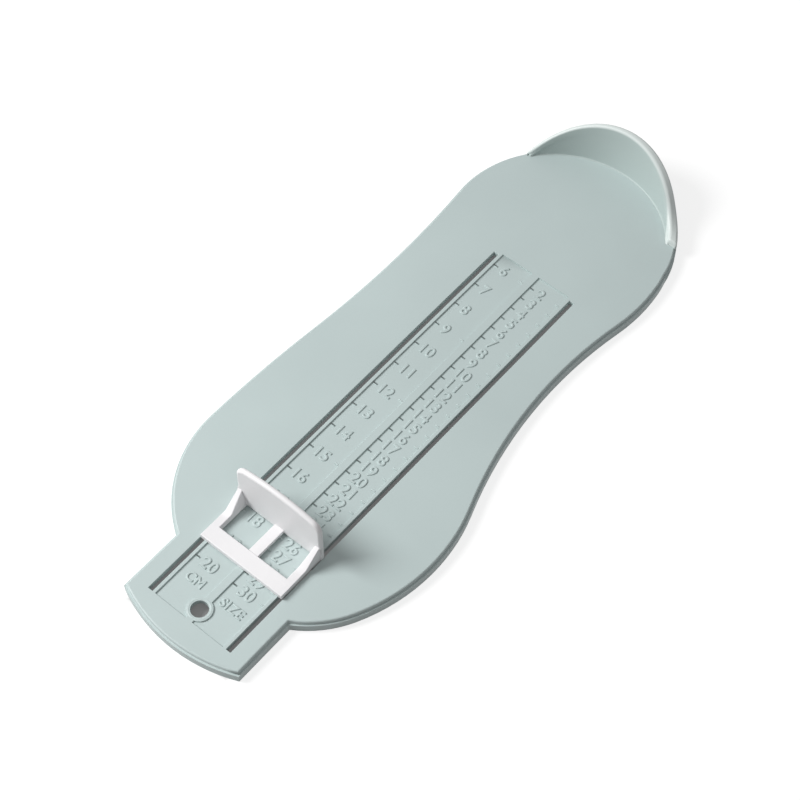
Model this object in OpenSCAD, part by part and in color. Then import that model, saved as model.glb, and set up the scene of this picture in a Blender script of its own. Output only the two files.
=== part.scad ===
// Foot gauge for babies and toddlers. The heel rests against a raised wall, and a toe stop slides
// along two slots until it touches the toes. Its face gives the foot's length on the raised scale.
// Millimetres. +Z up, +Y towards the heel, X across. It lies on Z = 0, centred under its own box.

/* [Plate] */
// Height of the plate's top face over the table
edge_h = 4.3; // [4:0.1:8]
// Thickness of the plate's top wall
plate_t = 1.8; // [1.4:0.1:2]
// Thickness of the skirt round the edge
skirt_t = 1.6; // [1.2:0.1:2.4]
// Width of the small ledge round the edge
ledge_w = 0.6; // [0.3:0.1:0.8]
// Depth of that ledge under the top face
ledge_drop = 1.3; // [0.8:0.1:1.6]

/* [Outline] */
// Distance of the heel arc's centre from the scale's zero
heel_back = 38.2; // [36:0.2:40]
// Radius of the heel arc
heel_r = 37.7; // [36:0.1:39]
// Offset of the heel arc to the left of the scale
heel_off = 4.2; // [2:0.2:6]
// Distance of the widest part of the ball from the zero
ball_back = 161.2; // [158:0.2:165]
// Radius of the ball's left arc, centred on the scale
ball_r = 43.8; // [43:0.1:46]
// Radius of the long left flank beside the ball
left_flank_r = 450; // [420:10:480]
// Radius of the hollow left waist
left_waist_r = 370; // [340:10:400]
// Offset of the right corner's centre from the scale's centre
corner_off = 3.6; // [3:0.2:4.2]
// Distance of the right corner's centre from the zero
corner_back = 168.5; // [167:0.5:170]
// Radius of the right corner behind the toe tab
corner_r = 36.2; // [35:0.2:38]
// Radius of the ball's right arc
right_ball_r = 62; // [58:1:66]
// Direction in which the corner passes into that arc, degrees
right_turn = -27; // [-30:1:-24]
// Radius of the hollow right waist, at the arch of the foot
right_waist_r = 156; // [145:1:165]
// Radius of the right flank beside the heel
right_flank_r = 64; // [60:1:70]
// Direction in which the heel passes into that flank, degrees
right_flank_turn = 8; // [5:1:12]
// Width of the toe tab
tab_w = 45.4; // [42:0.2:50]
// Distance of the toe end from the zero
toe_back = 225.5; // [224:0.5:235]
// Radius of the rounded toe end
toe_r = 55; // [50:1:80]

/* [Heel wall] */
// Height of the wall over the plate
wall_h = 17; // [15:0.5:18]
// Step from the heel arc in to the wall's inner face
wall_foot = 2; // [1.6:0.1:2.6]
// Outward lean of the wall's inner face, per unit of height
lean_in = 0.1; // [0.05:0.01:0.15]
// Distance of the outer face's centre from the zero
back_back = 33.7; // [33:0.1:34.6]
// Offset of that centre to the left of the scale
back_off = 2.9; // [2:0.1:4]
// Radius of the wall's outer face
back_r = 35.5; // [35:0.1:36.4]
// Offset of the rim's arch to the left of the scale
rim_off = 5.4; // [4.4:0.1:6.4]
// Radius of the arched rim, seen from the toe end
rim_r = 33; // [32:0.1:34]
// Half angle of the wall round the heel, degrees
wall_angle = 52; // [48:0.5:54]
// Depth of the lip line under the rim
lip_drop = 2.4; // [1.5:0.1:4]
// Step of the inner face at that line
lip_step = 0.3; // [0.2:0.1:0.5]

/* [Scale] */
// Distance between the two slots' centre lines
slot_gap = 30.8; // [30:0.2:32]
// Width of each slot
slot_w = 1.7; // [1.5:0.1:1.9]
// Distance of the slots' heel ends from the zero
slot_from = 56; // [54:0.5:58]
// Distance of the slots' toe ends from the zero
slot_to = 216.9; // [216:0.1:218]
// Width of each sunk strip's outer edge from the scale's centre
sunk_half = 13.4; // [13.2:0.1:13.6]
// Depth of the sunk strips
sunk_d = 0.5; // [0.3:0.1:0.6]
// Width of the rib between the strips
rib_w = 2.6; // [2:0.1:3.4]
// Length of one centimetre mark
mark_l = 1.6; // [1.2:0.1:2]
// Width of a mark
mark_w = 0.45; // [0.35:0.05:0.6]
// Height of a mark over the strip's floor
mark_h = 0.3; // [0.2:0.05:0.3]
// Distance from one centimetre mark to the next
cm_step = 10; // [9.9:0.1:10.1]
// First full centimetre on the scale
first_cm = 6; // [5:1:8]
// Last full centimetre on the scale
last_cm = 20; // [18:1:20]

/* [Hanging hole] */
// Radius of the hole
hole_r = 2.75; // [2:0.05:3.2]
// Distance of the hole from the zero
hole_back = 212.4; // [212:0.1:213]
// Width of the ring round it
ring_w = 1.3; // [1:0.1:1.8]

/* [Toe stop] */
// Foot length at the stop's face
reading = 176.1; // [152.2:0.1:200]
// Width of the sliding frame
frame_w = 32; // [32:0.1:32.2]
// Length of the sliding frame
frame_l = 18.9; // [18:0.1:20]
// Thickness of the frame's rails
rail_t = 1.3; // [1:0.1:1.6]
// Extra thickness of the toe end's bar and of the side rails over the middle rail
bar_rise = 0.5; // [0.3:0.1:0.8]
// Width of the bar at the toe end
bar_w = 5.4; // [4.8:0.1:5.6]
// Width of the rail between the two windows
mid_w = 3.6; // [3:0.1:4.2]
// Distance of each window's outer edge from the scale's centre
window_x = 13; // [12.6:0.1:13.2]
// Height of the stop over the plate
stop_h = 19.6; // [14:0.2:22]
// Width of the stop
stop_w = 32.7; // [32.4:0.1:33]
// Thickness of the stop
stop_t = 2; // [1.6:0.1:2.2]
// Radius of the stop's two upper corners
stop_corner_r = 4; // [3:0.1:6]
// Radius of the stop's arched top
stop_top_r = 60; // [50:1:120]
// Reach of the cheeks that brace the stop, along the rails
cheek_r = 6.2; // [5:0.1:8]
// Height of the cheeks at the stop
cheek_h = 6.9; // [5:0.1:8]
// Slope of the cheeks' inner faces, per unit of height
cheek_slope = 0.21; // [0.15:0.01:0.24]

/* [Snap legs] */
// Thickness of a leg in its slot
leg_t = 1.2; // [1:0.1:1.3]
// Length of a leg along its slot
leg_l = 4; // [3:0.1:4.5]
// Distance of the legs from the frame's toe end
leg_in = 2.1; // [2.1:0.1:2.6]
// Reach of a leg's hook under the plate
hook = 0.9; // [0.6:0.1:1.1]
// Height of that hook
hook_h = 1.1; // [0.8:0.1:1.3]
// Play between the slider and the plate
play = 0.12; // [0.08:0.01:0.15]

/* [Hidden] */
$fn = 96;
far = 300;
heel = [-heel_off, -heel_back];
ball = [0, -ball_back];
left_flank = ball + [left_flank_r - ball_r, 0];
left_waist = meet(left_flank, left_flank_r + left_waist_r, heel, heel_r + left_waist_r, 1);
corner = [corner_off, -corner_back];
right_ball = corner - (right_ball_r - corner_r) * aim(right_turn);
back = [-back_off, -back_back];
right_flank = heel - (right_flank_r - heel_r) * aim(right_flank_turn);
right_waist = meet(right_ball, right_ball_r + right_waist_r, right_flank, right_flank_r + right_waist_r, -1);
wall_r = heel_r - wall_foot;
shift = [
  (ball_r - right_ball[0] - right_ball_r) / 2,
  (toe_back + back_back - back_r) / 2,
  0
];
slot_x = slot_gap / 2;
stop_top = [0, stop_h - stop_top_r];
stop_side = stop_w / 2 - stop_corner_r;
corner_z = stop_top[1] + sqrt(pow(stop_top_r - stop_corner_r, 2) - pow(stop_side, 2));
corner_turn = atan2(corner_z - stop_top[1], stop_side);

// Unit vector at an angle
function aim(a) = [cos(a), sin(a)];

// Point at distance ra from a and rb from b, on the chosen side of the line from a to b
function meet(a, ra, b, rb, side) =
  let(d = norm(b - a), u = (b - a) / d, m = (ra * ra - rb * rb + d * d) / (2 * d))
  a + m * u + side * sqrt(ra * ra - m * m) * [-u[1], u[0]];

// Where the circle of radius r round a, drawn in by an inset, passes into the one round b
function pass(a, r, b, inset) = a + (r - inset) * (b - a) / norm(b - a);

// The part of a flat shape between two heights, on one side of the scale's centre line
module band(side, from_y, to_y) {
  intersection() {
    translate([side < 0 ? -far : 0, from_y]) square([far, to_y - from_y]);
    children();
  }
}

// A disc, given by its centre
module disc(centre, r) {
  translate(centre) circle(r = r, $fn = 180);
}

// A waist: everything between the centre line and a hollow arc
module hollow_side(centre, r) {
  difference() {
    translate([min(centre[0], 0), -far]) square([abs(centre[0]), 2 * far]);
    disc(centre, r);
  }
}

// Outline of the plate, drawn in by an inset
module outline(inset) {
  a = ball[1];
  b = pass(left_flank, left_flank_r, left_waist, inset)[1];
  c = pass(heel, heel_r, left_waist, inset)[1];
  d = (corner + (corner_r - inset) * aim(right_turn))[1];
  e = pass(right_ball, right_ball_r, right_waist, inset)[1];
  f = pass(right_flank, right_flank_r, right_waist, inset)[1];
  g = (heel + (heel_r - inset) * aim(right_flank_turn))[1];
  intersection() {
    translate([inset - tab_w / 2, -far]) square([tab_w - 2 * inset, far + a]);
    disc([0, toe_r - toe_back], toe_r - inset);
  }
  band(-1, -far, a) disc(ball, ball_r - inset);
  band(-1, a, b) disc(left_flank, left_flank_r - inset);
  band(-1, b, c) hollow_side(left_waist, left_waist_r + inset);
  band(-1, c, far) disc(heel, heel_r - inset);
  band(1, -far, d) disc(corner, corner_r - inset);
  band(1, d, e) disc(right_ball, right_ball_r - inset);
  band(1, e, f) hollow_side(right_waist, right_waist_r + inset);
  band(1, f, g) disc(right_flank, right_flank_r - inset);
  band(1, g, far) disc(heel, heel_r - inset);
  disc(back, back_r - inset);
}

// Everything inside a leaning face round the heel
module heel_inside(r) {
  translate([heel[0], heel[1], edge_h])
    cylinder(r1 = r, r2 = r + lean_in * (wall_h + 1), h = wall_h + 1, $fn = 180);
}

// Space under the arched rim, behind the wall's two ends
module under_rim(drop) {
  intersection() {
    translate([-rim_off, 0, edge_h + wall_h - rim_r])
      rotate([90, 0, 0]) cylinder(r = rim_r - drop, h = 4 * heel_r, center = true, $fn = 180);
    translate([-far, heel[1] + wall_r * cos(wall_angle), edge_h - ledge_drop])
      cube([2 * far, far, far]);
  }
}

// The heel wall, with a fine step inside under the rim
module heel_wall() {
  difference() {
    intersection() {
      linear_extrude(2 * wall_h) disc(back, back_r);
      under_rim(0);
    }
    heel_inside(wall_r + lip_step);
  }
  difference() {
    intersection() {
      heel_inside(wall_r + lip_step + 0.2);
      under_rim(lip_drop);
    }
    heel_inside(wall_r);
  }
}

// One slot, through everything
module slot(x) {
  translate([x - slot_w / 2, -slot_to, -1]) cube([slot_w, slot_to - slot_from, edge_h + 2]);
}

// The two sunk strips, with the ring left standing
module sunk_strips() {
  difference() {
    for (side = [0, 1])
      mirror([side, 0, 0])
        translate([rib_w / 2, -slot_to, edge_h - sunk_d])
          cube([sunk_half - rib_w / 2, slot_to - slot_from + 1, 1]);
    translate([0, -hole_back, 0]) cylinder(r = hole_r + ring_w, h = edge_h + 1);
  }
}

// A mark that starts at x and runs inwards along the strip's floor
module mark(x, back, length) {
  translate([x, -back - mark_w / 2, edge_h - sunk_d - 0.2]) cube([length, mark_w, mark_h + 0.2]);
}

// Marks of the centimetre strip on the left and the size strip on the right
module marks() {
  for (cm = [first_cm : last_cm])
    mark(-sunk_half - 0.1, cm * cm_step, mark_l + 0.1);
  for (cm = [first_cm : 3 : last_cm])
    mark(-rib_w / 2 - mark_l, cm * cm_step, mark_l + 0.1);
  for (half = [2 * first_cm : 2 * last_cm]) {
    mark(rib_w / 2 - 0.1, half * cm_step / 2, mark_l);
    mark(sunk_half - mark_l, half * cm_step / 2, mark_l + 0.1);
  }
}

module base_plate() {
  color("#b9c8c5")
    translate(shift) {
      difference() {
        union() {
          linear_extrude(edge_h - ledge_drop) outline(0);
          linear_extrude(edge_h) outline(ledge_w);
          heel_wall();
        }
        translate([0, 0, -1]) linear_extrude(edge_h - plate_t + 1) outline(skirt_t);
        slot(-slot_x);
        slot(slot_x);
        sunk_strips();
        translate([0, -hole_back, -1]) cylinder(r = hole_r, h = edge_h + 2);
      }
      marks();
    }
}

// Flat shape of the stop, seen from the toe end. Each arc keeps to its own side of the lines on which
// the arcs meet.
module stop_shape() {
  turn_x = stop_side + stop_corner_r * cos(corner_turn);
  translate([-stop_w / 2, 0]) square([stop_w, corner_z]);
  intersection() {
    translate([-turn_x, corner_z]) square([2 * turn_x, stop_h]);
    disc(stop_top, stop_top_r);
  }
  for (side = [0, 1])
    mirror([side, 0, 0])
      intersection() {
        translate([turn_x, corner_z]) square([stop_w / 2 - turn_x, stop_h]);
        disc([stop_side, corner_z], stop_corner_r);
      }
}

// The upright stop, with its measuring face towards the heel
module stop() {
  translate([0, stop_t, 0]) rotate([90, 0, 0]) linear_extrude(stop_t) stop_shape();
}

// Open space of one window, seen along the slots
module window_shape() {
  polygon([
    [mid_w / 2, -1],
    [window_x - cheek_slope, -1],
    [window_x + cheek_slope * cheek_h * 1.3, cheek_h * 1.3],
    [mid_w / 2, cheek_h * 1.3]
  ]);
}

// A springy leg on the right side, rooted in the frame's side rail, with its hook under the plate
module leg(y) {
  x = slot_x + leg_t / 2;
  z = -plate_t - 2 * play;
  root = x - leg_t - window_x - cheek_slope * rail_t;
  translate([x - leg_t, y + leg_l, 0])
    rotate([90, 0, 0])
      linear_extrude(leg_l)
        polygon([
          [-root, rail_t / 2],
          [-root, 0],
          [0, 0],
          [0, z - hook_h],
          [leg_t, z - hook_h],
          [leg_t + hook, z],
          [leg_t, z],
          [leg_t, rail_t / 2]
        ]);
}

// The slider, with the plate's top face at -play and the stop's toe side at y = 0
module slider_body() {
  toe = stop_t - frame_l;
  difference() {
    union() {
      translate([-frame_w / 2, toe, 0]) cube([frame_w, frame_l - stop_t / 4, rail_t + bar_rise]);
      translate([-frame_w / 2, 0, 0])
        rotate([90, 0, 90])
          linear_extrude(frame_w)
            polygon([
              [-cheek_r, 0],
              [-cheek_r, rail_t + bar_rise],
              [0, cheek_h],
              [stop_t * 3 / 4, cheek_h],
              [stop_t * 3 / 4, 0]
            ]);
    }
    for (side = [0, 1])
      mirror([side, 0, 0])
        rotate([90, 0, 0]) linear_extrude(frame_l - stop_t - bar_w) window_shape();
    translate([-mid_w / 2 - 0.1, toe + bar_w, rail_t]) cube([mid_w + 0.2, -toe - bar_w, far]);
  }
  stop();
  for (side = [0, 1])
    mirror([side, 0, 0]) {
      leg(toe + leg_in);
      leg(-leg_l + stop_t / 2);
    }
}

module slider() {
  color("#f1eff0")
    translate(shift + [0, -reading - stop_t, edge_h + play]) slider_body();
}

base_plate();
slider();
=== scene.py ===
"""A foot gauge for small children: a sage-green plate with a moulded scale and a white toe stop."""

import math

import bmesh
import bpy
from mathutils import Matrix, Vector


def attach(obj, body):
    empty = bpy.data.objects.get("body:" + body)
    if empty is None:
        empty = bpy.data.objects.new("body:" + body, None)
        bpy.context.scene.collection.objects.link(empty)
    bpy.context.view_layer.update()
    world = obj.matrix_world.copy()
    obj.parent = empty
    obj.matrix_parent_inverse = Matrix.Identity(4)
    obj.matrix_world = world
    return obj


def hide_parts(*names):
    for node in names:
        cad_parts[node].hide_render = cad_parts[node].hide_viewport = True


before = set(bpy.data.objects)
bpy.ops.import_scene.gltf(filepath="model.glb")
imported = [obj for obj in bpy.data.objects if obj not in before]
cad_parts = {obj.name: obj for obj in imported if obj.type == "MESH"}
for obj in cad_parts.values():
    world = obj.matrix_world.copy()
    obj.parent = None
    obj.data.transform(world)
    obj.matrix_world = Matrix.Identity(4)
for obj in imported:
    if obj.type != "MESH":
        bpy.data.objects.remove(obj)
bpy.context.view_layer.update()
bpy.ops.object.select_all(action="DESELECT")


# ---------------------------------------------------------------- the view
# The gauge is seen from above its toe end, a little from the right, with the heel wall at the top
# right of the picture. The camera stands about 0.6 m away.
camera_data = bpy.data.cameras.new("camera")
camera_data.lens = 86.85
camera_data.sensor_width = 36.0
camera_data.clip_start = 0.01
camera = bpy.data.objects.new("camera", camera_data)
bpy.context.collection.objects.link(camera)
camera.location = (0.21102, -0.25962, 0.50084)
camera.rotation_euler = [math.radians(turn) for turn in (33.562, 0.0754, 40.1297)]
bpy.context.scene.camera = camera
bpy.context.scene.view_settings.view_transform = "Standard"


# ---------------------------------------------------------------- the table and the light
# A white table, a soft lamp high on the left and a pale surround that fills the shadows. The table
# keeps the soft shadow of the gauge and otherwise runs into the white background.
class Value:
    """A shader socket that can be used in arithmetic."""

    def __init__(self, nodes, socket):
        self.nodes = nodes
        self.socket = socket

    def maths(self, operation, *inputs):
        return self.nodes.add("Math", {"operation": operation}, dict(enumerate(inputs)))

    def __add__(self, other):
        return self.maths("ADD", self, other)

    def __radd__(self, other):
        return self.maths("ADD", other, self)

    def __sub__(self, other):
        return self.maths("SUBTRACT", self, other)

    def __rsub__(self, other):
        return self.maths("SUBTRACT", other, self)

    def __mul__(self, other):
        return self.maths("MULTIPLY", self, other)

    def __rmul__(self, other):
        return self.maths("MULTIPLY", other, self)

    def __pow__(self, other):
        return self.maths("POWER", self, other)

    def __abs__(self):
        return self.maths("ABSOLUTE", self)

    def or_more(self, other):
        """The larger of the two."""
        return self.maths("MAXIMUM", self, other)

    def smooth(self, low, high):
        """0 below low, 1 above high, with a soft step between."""
        return self.nodes.add(
            "MapRange",
            {"interpolation_type": "SMOOTHSTEP"},
            {"Value": self, "From Min": low, "From Max": high},
        )


class Nodes:
    """The nodes of one material or of the surround."""

    def __init__(self, owner):
        owner.use_nodes = True
        self.tree = owner.node_tree
        self.tree.nodes.clear()

    def fill(self, socket, value):
        """Links a value to a socket, or sets the socket to a plain number or colour."""
        if isinstance(value, Value):
            self.tree.links.new(value.socket, socket)
        else:
            socket.default_value = value

    def add(self, kind, settings=None, inputs=None, output=0):
        """One node: its type, its settings, what its sockets get, and the output that is wanted."""
        node = self.tree.nodes.new("ShaderNode" + kind)
        for name, value in (settings or {}).items():
            setattr(node, name, value)
        for name, value in (inputs or {}).items():
            self.fill(node.inputs[name], value)
        return Value(self, node.outputs[output]) if len(node.outputs) else node

    def mix(self, factor, first, second):
        """Blend of two colours."""
        node = self.tree.nodes.new("ShaderNodeMix")
        node.data_type = "RGBA"
        self.fill(node.inputs[0], factor)
        for socket, color in ((node.inputs[6], first), (node.inputs[7], second)):
            self.fill(socket, color if isinstance(color, Value) else (*color, 1.0))
        return Value(self, node.outputs[2])

    def looked_at(self):
        """1 for what the camera sees, directly, in a gloss or through glass; otherwise 0."""
        rays = ("Is Camera Ray", "Is Glossy Ray", "Is Transmission Ray")
        direct, gloss, glass = [self.add("LightPath", output=ray) for ray in rays]
        return direct + gloss + glass


WHITE = (1.0, 1.0, 1.0, 1.0)

# Just under the gauge, so that the two faces don't fight.
table_z = -0.00005
bpy.ops.mesh.primitive_plane_add(size=4.0, location=(0, 0, table_z))
table = bpy.context.object
table.name = "table"
table_white = bpy.data.materials.new("table_white")
n = Nodes(table_white)
seen = n.looked_at()
# Painted shade: the table glows less under the scale's block, so it looks dark where seen through
# the slots and the hole.
place = n.add("TexCoord", output="Object")
across = n.add("SeparateXYZ", None, {"Vector": place}, "X")
along = n.add("SeparateXYZ", None, {"Vector": place}, "Y")
block_y = -0.0245
beside = abs(across).smooth(0.017, 0.0215)
beyond = abs(along - block_y).smooth(0.083, 0.088)
glow = seen * (0.11 + beside.or_more(beyond) * 0.66)
grey = n.add("BsdfDiffuse", None, {"Color": (0.34, 0.34, 0.34, 1.0)})
light = n.add("Emission", None, {"Color": WHITE, "Strength": glow})
n.add("OutputMaterial", None, {"Surface": n.add("AddShader", None, {0: grey, 1: light})})
table.data.materials.append(table_white)

world = bpy.data.worlds.new("surround")
bpy.context.scene.world = world
n = Nodes(world)
fill_level = 0.34
strength = fill_level + n.looked_at() * (1.0 - fill_level)
n.add(
    "OutputWorld",
    None,
    {"Surface": n.add("Background", None, {"Color": WHITE, "Strength": strength})},
)

lamp_data = bpy.data.lights.new("lamp", "AREA")
lamp_data.shape = "DISK"
lamp_data.size = 0.4
lamp_data.energy = 6.6
lamp = bpy.data.objects.new("lamp", lamp_data)
bpy.context.collection.objects.link(lamp)
lamp.location = (-0.50, -0.33, 0.54)
towards = Vector((0.01, 0, 0)) - lamp.location
lamp.rotation_euler = towards.to_track_quat("-Z", "Y").to_euler()


# ---------------------------------------------------------------- base plate
# One moulding in pale grey-green plastic: a sole-shaped plate on a thin skirt, with the heel wall,
# the scale's strips and the hanging hole. The mould leaves its edges softly rounded.
def moulded_plastic(name, color, rim=None):
    """Satin plastic, finely textured and faintly cloudy, with a painted highlight along a rim if
    one is given.
    """
    material = bpy.data.materials.new(name)
    n = Nodes(material)
    place = n.add("TexCoord", output="Object")
    clouds = {"Vector": place, "Scale": 22.0, "Detail": 3.0, "Roughness": 0.5}
    cloud = n.add("TexNoise", None, clouds)
    grain = n.add("TexNoise", None, {"Vector": place, "Scale": 2600.0, "Detail": 2.0})
    speck = n.add("TexNoise", None, {"Vector": place, "Scale": 900.0, "Detail": 2.0})
    spread = 0.025
    shade = n.mix(
        cloud.smooth(0.3, 0.7),
        [part * (1 - spread) for part in color],
        [part * (1 + spread) for part in color],
    )
    # Painted highlight: the colour turns paler towards the top of the rim's arch.
    if rim:
        axis_x, axis_z, edge, painted_highlight_color = rim
        across = n.add("SeparateXYZ", None, {"Vector": place}, "X") - axis_x
        above = n.add("SeparateXYZ", None, {"Vector": place}, "Z") - axis_z
        reach = (across * across + above * above) ** 0.5
        shade = n.mix(reach.smooth(edge - 0.0011, edge - 0.0003), shade, painted_highlight_color)
    bump = n.add("Bump", None, {"Strength": 0.10, "Distance": 0.00004, "Height": grain})
    surface = {
        "Base Color": shade,
        "Roughness": 0.40 + speck * 0.08,
        "Specular IOR Level": 0.42,
        "Normal": bump,
    }
    n.add("OutputMaterial", None, {"Surface": n.add("BsdfPrincipled", None, surface)})
    return material


def clear_slits(piece):
    """Removes the walls left inside the solid where merged points have closed a hairline slit."""
    mesh = bmesh.from_edit_mesh(piece.data)
    met = set()
    inside = []
    for first in mesh.faces:
        if first in met:
            continue
        met.add(first)
        patch = [first]
        for face in patch:
            for edge in face.edges:
                if len(edge.link_faces) == 2:
                    found = [other for other in edge.link_faces if other not in met]
                    met.update(found)
                    patch.extend(found)
        if all(abs(face.normal.y) > 0.99 for face in patch):
            inside.extend(patch)
    bmesh.ops.delete(mesh, geom=inside, context="FACES")
    bmesh.update_edit_mesh(piece.data)


def rounded_copy(node, name, cuts, top=None):
    """The CAD solid's copy as one welded mesh, its flat faces whole between cuts, in edit mode."""
    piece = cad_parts[node].copy()
    piece.data = piece.data.copy()
    piece.name = name
    piece.animation_data_clear()
    bpy.context.collection.objects.link(piece)
    bpy.ops.object.select_all(action="DESELECT")
    piece.select_set(True)
    bpy.context.view_layer.objects.active = piece
    piece.data.materials.clear()
    bpy.ops.object.mode_set(mode="EDIT")
    bpy.ops.mesh.select_mode(type="VERT")
    bpy.ops.mesh.select_all(action="SELECT")
    bpy.ops.mesh.remove_doubles(threshold=2e-6)
    clear_slits(piece)
    bpy.ops.mesh.select_mode(type="EDGE")
    for place, direction in cuts:
        bpy.ops.mesh.select_all(action="SELECT")
        bpy.ops.mesh.bisect(plane_co=place, plane_no=direction, threshold=1e-6)
        bpy.ops.mesh.mark_seam(clear=False)
    if top is not None:
        bpy.ops.mesh.select_all(action="SELECT")
        bpy.ops.mesh.bisect(
            plane_co=(0, 0, top),
            plane_no=(0, 0, 1),
            clear_outer=True,
            use_fill=True,
            threshold=1e-6,
        )
    bpy.ops.mesh.select_all(action="SELECT")
    bpy.ops.mesh.dissolve_limited(angle_limit=math.radians(0.3), delimit={"SEAM"})
    return piece


def bevel_edges(piece, offset, segments, wanted, least=20.0):
    """Rounds the outward edges, sharper than least, for which wanted(one end, other end) holds."""
    mesh = bmesh.from_edit_mesh(piece.data)
    for face in mesh.faces:
        face.select_set(False)
    for edge in mesh.edges:
        edge.select_set(False)
    for edge in mesh.edges:
        if len(edge.link_faces) == 2 and edge.calc_face_angle_signed(0.0) > math.radians(least):
            if wanted(edge.verts[0].co, edge.verts[1].co):
                edge.select_set(True)
    mesh.select_flush_mode()
    bmesh.update_edit_mesh(piece.data)
    bpy.ops.mesh.bevel(
        offset=offset,
        offset_type="OFFSET",
        segments=segments,
        profile=0.5,
        clamp_overlap=False,
    )


def finish_shading(piece, angle=32.0):
    """Smooth shading whose normals follow the large faces."""
    bpy.ops.object.mode_set(mode="OBJECT")
    bpy.ops.object.shade_smooth_by_angle(angle=math.radians(angle))
    weighted = piece.modifiers.new("weighted", "WEIGHTED_NORMAL")
    weighted.keep_sharp = True
    weighted.weight = 80
    bpy.ops.object.modifier_apply(modifier="weighted")


def near(value, level):
    return abs(value - level) < 2e-5


def on_top(a, b):
    """Whether an edge lies in the plate's top face."""
    return near(a.z, plate_top) and near(b.z, plate_top)


def inside_scale(a, b):
    """Whether an edge lies in the block of slots, strips and marks."""
    middle = (a + b) / 2
    return abs(middle.x - 0.0006) < 0.0165 and -0.1051 < middle.y < 0.0567


# The copy is cut off just over its top face, because the heel wall is a piece of its own below. Two
# seams, across the scale and through the hole, part the flat faces so that none has an island.
plate_top = 0.0043
centre_x = 0.000594
hole_y = -0.10055
seam_y = -0.0301
plate = rounded_copy(
    "base_plate",
    "plate",
    [((0, seam_y, 0), (0, 1, 0)), ((0, hole_y, 0), (0, 1, 0))],
    plate_top + 0.00005,
)
sage = moulded_plastic("sage_plastic", (0.482, 0.563, 0.557))
plate.data.materials.append(sage)
bevel_edges(plate, 0.0006, 4, lambda a, b: on_top(a, b) and not inside_scale(a, b))
bevel_edges(plate, 0.00015, 3, lambda a, b: on_top(a, b) and inside_scale(a, b))
finish_shading(plate)
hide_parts("base_plate")
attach(plate, "base")


# ---------------------------------------------------------------- heel wall
# The part of the same moulding that stops the heel: a leaning wall with a fully rounded rim, which
# runs in an arch from side to side and ends as a low bead on the right. Its faces carry painted
# shade, a little darker than the plate's sage, and its rim a painted highlight.
heel_centre = Vector((-0.003606, 0.07365, 0))
back_centre = Vector((-0.002306, 0.07815, 0))
inner_r = 0.0357
outer_r = 0.0355
lean = 0.1
rim_x = -0.004806
rim_z = -0.0117
rim_r = 0.033
tail_x = 0.019094


def rim_height(x):
    """Height of the rim over the table: an arch, and a low tail on the right."""
    if x < tail_x:
        return rim_z + math.sqrt(rim_r**2 - (x - rim_x) ** 2)
    beyond = x - tail_x
    return rim_height(tail_x - 1e-9) - 1.05 * beyond + 60 * beyond**2


def corner(point, first, second, radius, steps):
    """Points of a round corner at a point, from one direction to the other."""
    first = first.normalized()
    second = second.normalized()
    half = first.angle(second) / 2
    centre = point + (first + second).normalized() * radius / math.sin(half)
    start = (point + first * radius / math.tan(half) - centre).normalized()
    end = (point + second * radius / math.tan(half) - centre).normalized()
    return [centre + start.slerp(end, i / steps) * radius for i in range(steps + 1)]


def wall_section(turn_in, turn_out, low, inset):
    """One section of the wall, from the plate up the inner face, over the rim and down outside."""
    way_in = Vector((math.sin(turn_in), math.cos(turn_in), 0))
    way_out = Vector((math.sin(turn_out), math.cos(turn_out), 0))
    plumb = Vector((0, 0, -1))
    foot = heel_centre + way_in * (inner_r + inset)
    outer = back_centre + way_out * (outer_r - inset)
    # The rim's height depends on where the leaning face meets it, so it is found by steps.
    height = 0.01
    for _ in range(8):
        height = rim_height((foot + way_in * lean * height).x) - plate_top
    height *= low
    inner_top = foot + way_in * lean * height + Vector((0, 0, plate_top + height))
    outer_top = outer + Vector((0, 0, plate_top + (rim_height(outer.x) - plate_top) * low))
    foot.z = plate_top

    # The rim is as round as its width allows, and the foot has a small fillet.
    down = (way_in * -lean + plumb).normalized()
    across = outer_top - inner_top
    spent = 1 / math.tan(down.angle(across) / 2) + 1 / math.tan(plumb.angle(-across) / 2)
    rim_round = min(0.00125, 0.42 * height, 0.92 * across.length / spent)
    foot_round = min(0.0005, 0.25 * height)
    points = corner(foot, -way_in, -down, foot_round, 4)
    crest = corner(inner_top, down, across, rim_round, 8)

    # The wall is a little thicker within 3 mm of the rim, and fades out upwards.
    face_from = points[-1]
    face_to = crest[0]
    for i in range(1, 10):
        share = i / 10
        point = face_from.lerp(face_to, share)
        drop = inner_top.z - point.z
        thin = min(1.0, max(0.0, (drop - 0.0030) / 0.0006))
        points.append(point - way_in * 0.00036 * (1 - thin) * (1 - share))
    points += crest
    points += corner(outer_top, -across, plumb, rim_round, 8)

    # The outer face goes on below the rounding of the plate's edge.
    last = points[-1]
    bottom = Vector((last.x, last.y, min(last.z, plate_top - 0.0007)))
    points += [last.lerp(bottom, i / 4) for i in range(1, 5)]
    return points


# Sections from the left end to the right, each with its turn inside and outside, its share of the
# full height and its inset. Beyond both ends, twelve short steps make a rounded nose.
turns = 150
nose = 0.0008
nose_steps = 12
sections = []
for i in range(turns + 1):
    share = i / turns * 2 - 1
    end_in, end_out = (53.5, 60.5) if share > 0 else (51.5, 60.0)
    sections.append((math.radians(end_in * share), math.radians(end_out * share), 1.0, 0.0))
for side in (-1, 1):
    edge = sections[-1] if side > 0 else sections[0]
    for k in range(1, nose_steps + 1):
        a = math.radians(90 * k / nose_steps)
        part = (
            edge[0] + side * nose * math.sin(a) / inner_r,
            edge[1] + side * nose * math.sin(a) / outer_r,
            max(0.08, math.cos(a) ** 0.7),
            0.0007 * (1 - math.cos(a)),
        )
        sections.insert(len(sections) if side > 0 else 0, part)
rows = [wall_section(*section) for section in sections]

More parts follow.
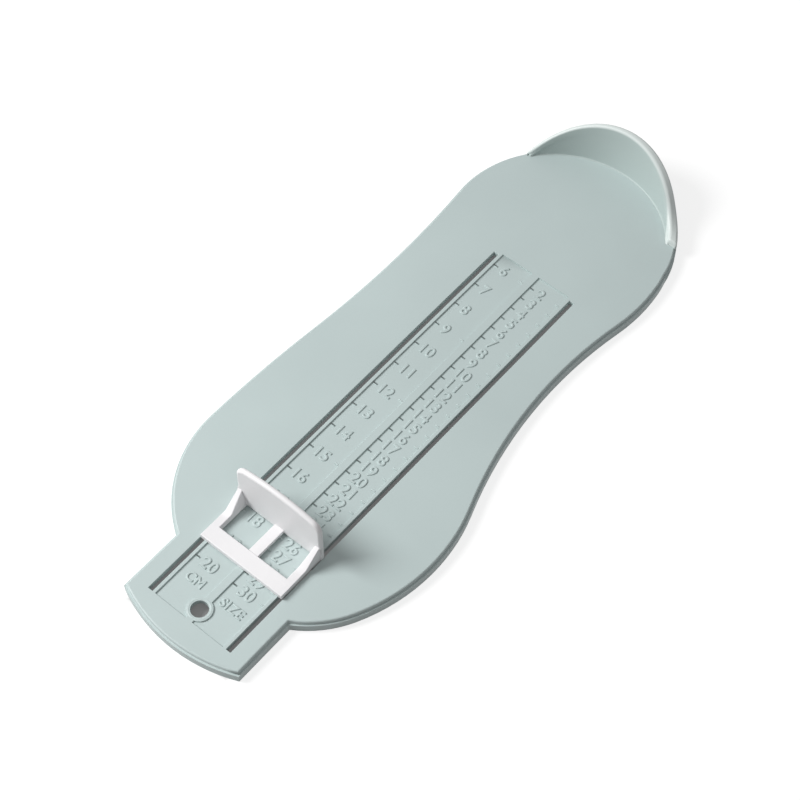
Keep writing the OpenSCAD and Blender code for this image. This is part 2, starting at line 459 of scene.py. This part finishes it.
last_i = len(rows) - 1
last_j = len(rows[0]) - 1
bpy.ops.object.select_all(action="DESELECT")
bpy.ops.mesh.primitive_grid_add(x_subdivisions=last_i, y_subdivisions=last_j, size=2.0)
wall = bpy.context.object
wall.name = "heel_wall"
ends = [[], []]
for vertex in wall.data.vertices:
    i = round((vertex.co.x + 1) / 2 * last_i)
    j = round((vertex.co.y + 1) / 2 * last_j)
    vertex.co = rows[i][j]
    if i in (0, last_i):
        ends[i > 0].append(vertex.index)
bpy.ops.object.mode_set(mode="EDIT")
bpy.ops.mesh.select_mode(type="VERT")
for end in ends:
    bpy.ops.mesh.select_all(action="DESELECT")
    mesh = bmesh.from_edit_mesh(wall.data)
    mesh.verts.ensure_lookup_table()
    for index in end:
        mesh.verts[index].select_set(True)
    mesh.select_flush_mode()
    bpy.ops.mesh.edge_face_add()
bpy.ops.mesh.select_all(action="SELECT")
bpy.ops.mesh.fill_holes(sides=0)
bpy.ops.mesh.select_all(action="SELECT")
bpy.ops.mesh.normals_make_consistent(inside=False)
# Painted highlight: the rim's paler colour, set by its distance from the arch's centre.
rim = (rim_x, rim_z, rim_r, (0.66, 0.715, 0.70))
# Painted shade: the wall's sage is a darker copy of the plate's, though both are one moulding.
wall.data.materials.append(moulded_plastic("sage_wall_painted_shade", (0.445, 0.520, 0.506), rim))
finish_shading(wall, 60.0)
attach(wall, "base")


# ---------------------------------------------------------------- ring round the hanging hole
# A low rounded bead that strengthens the hole by which the gauge hangs on a hook. It is moulded
# with the plate and stays just under the toe stop's frame, which passes over it.
ring_centre = (centre_x, hole_y, plate_top - 0.0004)
bpy.ops.object.select_all(action="DESELECT")
bpy.ops.mesh.primitive_torus_add(
    location=ring_centre,
    major_radius=0.0034,
    minor_radius=0.00062,
    major_segments=96,
    minor_segments=20,
)
ring = bpy.context.object
ring.name = "hole_ring"
bpy.ops.object.mode_set(mode="EDIT")
bpy.ops.mesh.select_all(action="SELECT")
bpy.ops.transform.resize(value=(1, 1, 0.75), center_override=ring_centre)
bpy.ops.object.mode_set(mode="OBJECT")
bpy.ops.object.transform_apply(location=True, rotation=True, scale=True)
bpy.ops.object.shade_smooth_by_angle(angle=math.radians(60))
ring.data.materials.append(sage)
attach(ring, "base")


# ---------------------------------------------------------------- numerals
# The two columns of raised numbers stand in the sunk strips, cut into the same mould as the plate:
# centimetres on the left, sizes at every half centimetre on the right, each with a plain heading.
def raised_text(words, height):
    """Words in low relief with rounded edges, as a mesh centred at the origin."""
    bpy.ops.object.text_add(location=(0, 0, 0))
    text = bpy.context.object
    text.data.body = words
    text.data.size = height * 1.37
    text.data.resolution_u = 5
    text.data.space_character = 1.06
    text.data.extrude = 0.00015
    text.data.bevel_depth = 0.00018
    text.data.bevel_resolution = 2
    text.data.offset = -0.00006
    bpy.ops.object.convert(target="MESH")
    bpy.ops.object.mode_set(mode="EDIT")
    bpy.ops.mesh.select_all(action="SELECT")
    bpy.ops.mesh.remove_doubles(threshold=1e-6)
    bpy.ops.mesh.normals_make_consistent(inside=False)
    bpy.ops.object.mode_set(mode="OBJECT")
    low = [min(v.co[i] for v in text.data.vertices) for i in range(2)]
    high = [max(v.co[i] for v in text.data.vertices) for i in range(2)]
    grow = height / (high[1] - low[1])
    for v in text.data.vertices:
        v.co.x = (v.co.x - (low[0] + high[0]) / 2) * grow
        v.co.y = (v.co.y - (low[1] + high[1]) / 2) * grow
    return text


# Each entry has its words, its place from the scale's zero, and its height, in millimetres.
strip_floor = 0.0038
zero_y = 0.11185
digit_h = 4.0
heading_h = 3.3
columns = {
    "cm_numerals": [("CM", -7.7, -206.1, heading_h)],
    "size_numerals": [("SIZE", 7.0, -206.2, heading_h)],
}
for cm in range(6, 21):
    columns["cm_numerals"].append((str(cm), -8.8 if cm < 10 else -7.7, -10.0 * cm, digit_h))
for size in range(2, 31):
    x = (5.9, 6.8, 6.6, 7.1)[size // 10]
    columns["size_numerals"].append((str(size), x, -5.0 * (size + 10), digit_h))
for name, entries in columns.items():
    signs = []
    for words, x, y, height in entries:
        sign = raised_text(words, height / 1000)
        sign.location = (centre_x + x / 1000, zero_y + y / 1000, strip_floor)
        signs.append(sign)
    bpy.ops.object.select_all(action="DESELECT")
    for sign in signs:
        sign.select_set(True)
    bpy.context.view_layer.objects.active = signs[0]
    bpy.ops.object.transform_apply(location=True, rotation=True, scale=True)
    bpy.ops.object.join()
    numerals = bpy.context.object
    numerals.name = name
    numerals.data.materials.clear()
    numerals.data.materials.append(sage)
    bpy.ops.object.shade_smooth_by_angle(angle=math.radians(32))
    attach(numerals, "base")


# ---------------------------------------------------------------- toe stop
# One white moulding: a frame with two reading windows, cheeks, and the upright stop with a fully
# rounded edge. Four snap legs under the frame run in the plate's slots.
stop_z = 0.0119
window_y = -0.0750
face_y = -0.06425
toe_y = -0.06625
stop = rounded_copy(
    "slider",
    "toe_stop",
    [((0, window_y, 0), (0, 1, 0)), ((0, 0, stop_z), (0, 0, 1))],
)
white = moulded_plastic("white_plastic", (0.80, 0.79, 0.80))
stop.data.materials.append(white)


def round_edge(a, b):
    """The stop's own edge: all of it on the heel side, and above the cheeks on the toe side."""
    lowest = min(a.z, b.z)
    heel_side = near(a.y, face_y) and near(b.y, face_y) and lowest > plate_top + 0.0001
    toe_side = near(a.y, toe_y) and near(b.y, toe_y) and lowest > stop_z - 0.00002
    return heel_side or toe_side


def plain_edge(a, b):
    """The edges of the frame and the cheeks, between the plate and the free part of the stop."""
    return min(a.z, b.z) > plate_top + 0.0002 and max(a.z, b.z) < stop_z - 0.0001


bevel_edges(stop, 0.00095, 6, round_edge)
bevel_edges(stop, 0.0002, 2, plain_edge, 25.0)
finish_shading(stop)
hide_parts("slider")
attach(stop, "toe_stop")
